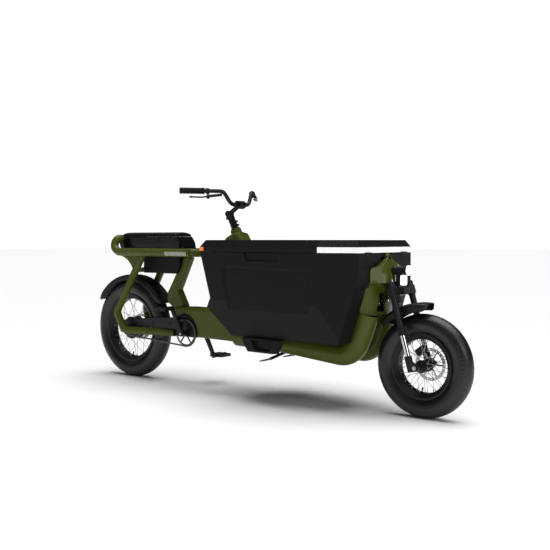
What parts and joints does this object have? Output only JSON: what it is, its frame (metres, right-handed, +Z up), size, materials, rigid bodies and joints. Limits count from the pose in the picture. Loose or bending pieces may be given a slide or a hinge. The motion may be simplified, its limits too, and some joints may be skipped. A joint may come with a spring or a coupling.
{
  "type": "cargo bicycle",
  "caption": "Long front-loading cargo bicycle with a lidded box, fat tyres, linked steering, sprung fork and a fold-down stand.",
  "frame": {"origin": "on the ground, midway along and across the bicycle", "axes": "+X to the front, +Y to the rider's left, +Z up"},
  "size_m": [2.5738, 0.6412, 1.1353],
  "materials": {
    "olive_paint": "soft gloss paint",
    "olive_gloss": "gloss paint",
    "black_metal": "satin black",
    "box_plastic": "fine matte grain",
    "gloss_plastic": "gloss",
    "tyre": "matte tread",
    "grip_rubber": "matte",
    "seat_skin": "fine grain",
    "white_plastic": "clean white",
    "lens": "clear white",
    "orange_lens": "reflector",
    "chrome": "polished",
    "steel": "brushed",
    "chain_steel": "oiled"
  },
  "bodies": {
    "frame": {"seat_rail": "olive_paint", "rear_stays": "olive_paint", "seat_tube": "olive_paint", "main_beam": "olive_paint", "steering_tower": "olive_paint", "cradle_tubes": "olive_paint", "front_neck": "olive_paint", "nose_cover": "olive_gloss", "motor_housing": "black_metal", "battery_box": "box_plastic", "chain_guard": "black_metal", "drive_chain": "chain_steel", "rear_fender": "black_metal", "rear_axle": "steel", "rear_brake_caliper": "black_metal", "seat_base": "gloss_plastic", "seat_cushion": "seat_skin", "cargo_box": "box_plastic", "box_steps": "box_plastic", "box_hinges": "black_metal", "headlight_body": "black_metal", "headlight_lens": "lens", "running_light": "lens", "headset_bearings": "steel"},
    "lid": {"lid_shell": "box_plastic", "lid_band": "white_plastic", "side_reflectors": "orange_lens"},
    "column": {"steering_column": "black_metal"},
    "bar": {"stem_arm": "black_metal", "handlebar": "black_metal", "grips": "grip_rubber", "brake_mounts": "black_metal"},
    "lever_right": {"brake_lever_right": "black_metal"},
    "lever_left": {"brake_lever_left": "black_metal"},
    "fork": {"fork_crown": "black_metal", "fork_legs": "black_metal", "front_fender": "black_metal"},
    "fork_lower": {"fork_stanchions": "chrome", "axle_lugs": "black_metal", "front_axle": "steel", "front_brake_caliper": "black_metal"},
    "idler": {"idler_lever": "black_metal"},
    "drag": {"drag_link": "steel"},
    "link": {"link_rod": "chrome"},
    "front_wheel": {"front_tyre": "tyre", "front_rim": "black_metal", "front_hub": "black_metal", "front_spokes": "steel", "front_rotor": "steel"},
    "rear_wheel": {"rear_tyre": "tyre", "rear_rim": "black_metal", "rear_hub": "black_metal", "rear_spokes": "steel", "rear_rotor": "steel"},
    "cog": {"rear_cog": "chain_steel"},
    "crank": {"crank_set": "black_metal", "chainring": "black_metal"},
    "pedal_r": {"pedal_right": "black_metal"},
    "pedal_l": {"pedal_left": "black_metal"},
    "stand": {"kickstand": "black_metal"}
  },
  "joints": [
    {"name": "fork_steer", "type": "hinge", "parent": "frame", "child": "fork", "pos_m": [0.8537, 0, 0.643], "axis": [-0.2756, 0, 0.9613], "range_deg": [-30, 30]},
    {"name": "column_steer", "type": "hinge", "parent": "frame", "child": "column", "pos_m": [-0.1475, 0, 0.9], "axis": [-0.4384, 0, 0.8988], "range_deg": [-30, 30]},
    {"name": "idler_turn", "type": "hinge", "parent": "frame", "child": "idler", "pos_m": [0.78741, 0, 0.56033], "axis": [-0.2756, 0, 0.9613], "range_deg": [-30, 30]},
    {"name": "drag_link_turn", "type": "hinge", "parent": "idler", "child": "drag", "pos_m": [0.79485, -0.024, 0.53438], "axis": [-0.2756, 0, 0.9613], "range_deg": [-30, 30]},
    {"name": "link_rod_turn", "type": "hinge", "parent": "fork", "child": "link", "pos_m": [0.86299, -0.05, 0.5562], "axis": [-0.2756, 0, 0.9613], "range_deg": [-30, 30]},
    {"name": "stem_angle", "type": "hinge", "parent": "column", "child": "bar", "pos_m": [-0.19484, 0, 0.99707], "axis": [0, 1, 0], "range_deg": [-15, 25]},
    {"name": "brake_lever_right_pull", "type": "hinge", "parent": "bar", "child": "lever_right", "pos_m": [-0.17278, -0.20209, 1.08749], "axis": [-0.5079, 0.394, -0.766], "range_deg": [0, 10], "stiffness_Nm_per_rad": 0.8, "springref_deg": -5.73},
    {"name": "brake_lever_left_pull", "type": "hinge", "parent": "bar", "child": "lever_left", "pos_m": [-0.17278, 0.20209, 1.08749], "axis": [0.5079, 0.394, 0.766], "range_deg": [0, 10], "stiffness_Nm_per_rad": 0.8, "springref_deg": -5.73},
    {"name": "fork_suspension", "type": "slide", "parent": "fork", "child": "fork_lower", "axis": [-0.2756, 0, 0.9613], "range_m": [0, 0.04], "stiffness_N_per_m": 9000, "springref_m": -0.03},
    {"name": "front_wheel_spin", "type": "hinge", "parent": "fork_lower", "child": "front_wheel", "pos_m": [1.037, 0, 0.25], "axis": [0, 1, 0], "continuous": true},
    {"name": "rear_wheel_spin", "type": "hinge", "parent": "frame", "child": "rear_wheel", "pos_m": [-0.984, 0, 0.303], "axis": [0, 1, 0], "continuous": true},
    {"name": "crank_spin", "type": "hinge", "parent": "frame", "child": "crank", "pos_m": [-0.484, 0, 0.306], "axis": [0, 1, 0], "continuous": true},
    {"name": "cog_spin", "type": "hinge", "parent": "frame", "child": "cog", "pos_m": [-0.984, 0, 0.303], "axis": [0, 1, 0], "continuous": true},
    {"name": "pedal_right_spin", "type": "hinge", "parent": "crank", "child": "pedal_r", "pos_m": [-0.56052, 0, 0.44992], "axis": [0, 1, 0], "continuous": true},
    {"name": "pedal_left_spin", "type": "hinge", "parent": "crank", "child": "pedal_l", "pos_m": [-0.40748, 0, 0.16208], "axis": [0, 1, 0], "continuous": true},
    {"name": "kickstand_fold", "type": "hinge", "parent": "frame", "child": "stand", "pos_m": [0.375, 0, 0.262], "axis": [0, -1, 0], "range_deg": [0, 76]},
    {"name": "lid_hinge", "type": "hinge", "parent": "frame", "child": "lid", "pos_m": [0.8259, 0, 0.788], "axis": [0, 1, 0], "range_deg": [0, 80]}
  ],
  "couplings": [
    {"joint": "column_steer", "follows": "fork_steer", "ratio": 1},
    {"joint": "idler_turn", "follows": "fork_steer", "ratio": 1},
    {"joint": "drag_link_turn", "follows": "fork_steer", "ratio": -1},
    {"joint": "link_rod_turn", "follows": "fork_steer", "ratio": -1},
    {"joint": "cog_spin", "follows": "crank_spin", "ratio": 1.9}
  ]
}
